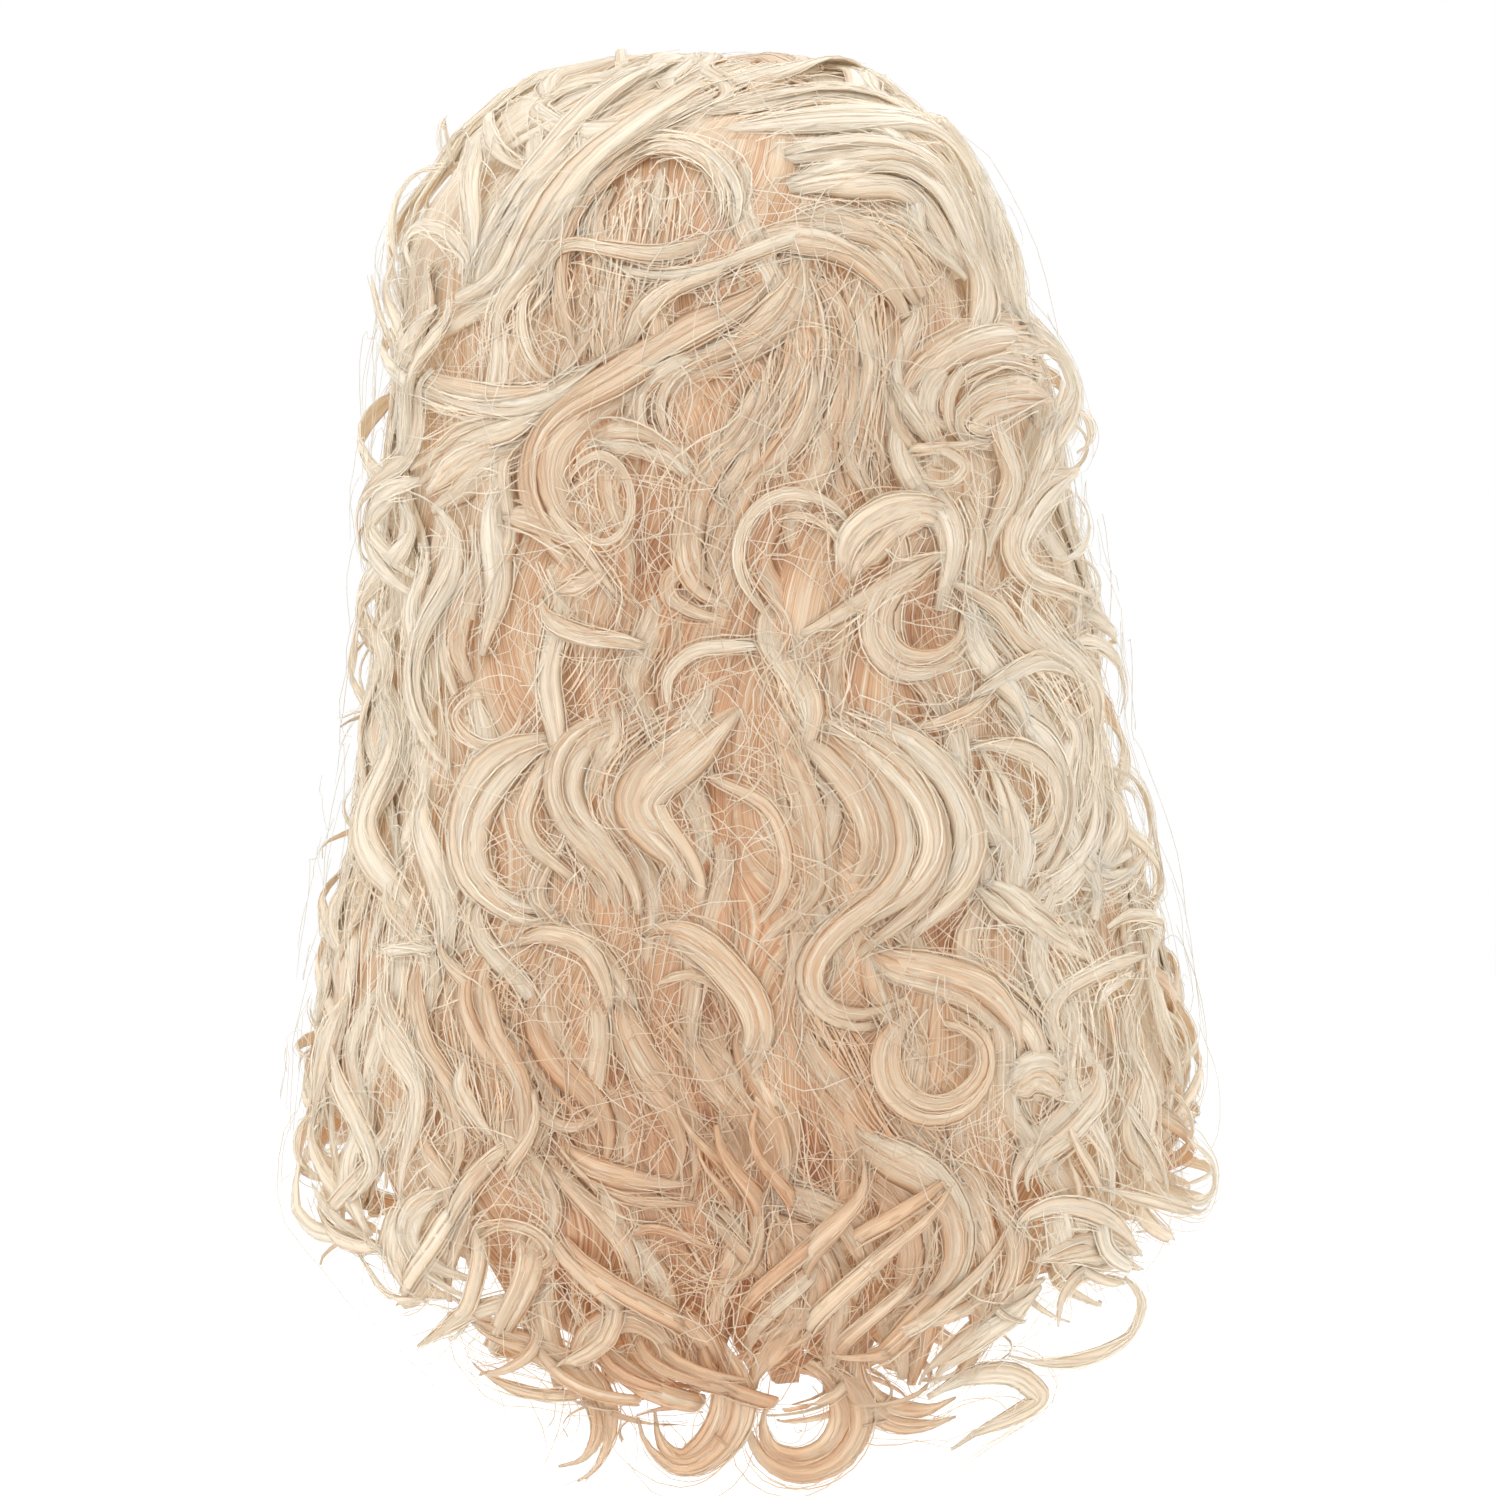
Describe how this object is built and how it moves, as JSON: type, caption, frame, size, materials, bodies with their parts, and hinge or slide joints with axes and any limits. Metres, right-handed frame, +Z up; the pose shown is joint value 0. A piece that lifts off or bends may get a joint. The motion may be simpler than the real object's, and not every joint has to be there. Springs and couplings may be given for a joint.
{
  "type": "long curly wig with fringe",
  "caption": "Full, long, tightly curled pale blonde wig with a short fringe, on a stretch cap open below for the head and in front for the face.",
  "frame": {"origin": "top of the hollow inside the cap, where the crown of the head touches it", "axes": "+Z up, the wearer faces -Y, so the back of the wig is +Y and the wearer's left is +X"},
  "size_m": [0.3669, 0.2679, 0.575],
  "materials": {
    "hair": "pale blonde curled synthetic hair fibre, soft sheen, slightly darker and pinker between the locks",
    "cap_net": "matte beige stretch net with sewn rows of hair"
  },
  "bodies": {
    "root": {"wig_cap": "cap_net", "crown_hair": "hair", "fringe_left": "hair", "fringe_mid_left": "hair", "fringe_mid": "hair", "fringe_mid_right": "hair", "fringe_right": "hair", "lock_right_1": "hair", "lock_right_2": "hair", "lock_right_3": "hair", "lock_right_4": "hair", "lock_right_5": "hair", "lock_right_6": "hair", "lock_back_1": "hair", "lock_back_2": "hair", "lock_back_3": "hair", "lock_back_4": "hair", "lock_back_5": "hair", "lock_back_6": "hair", "lock_back_7": "hair", "lock_back_8": "hair", "lock_left_6": "hair", "lock_left_5": "hair", "lock_left_4": "hair", "lock_left_3": "hair", "lock_left_2": "hair", "lock_left_1": "hair"}
  },
  "joints": []
}
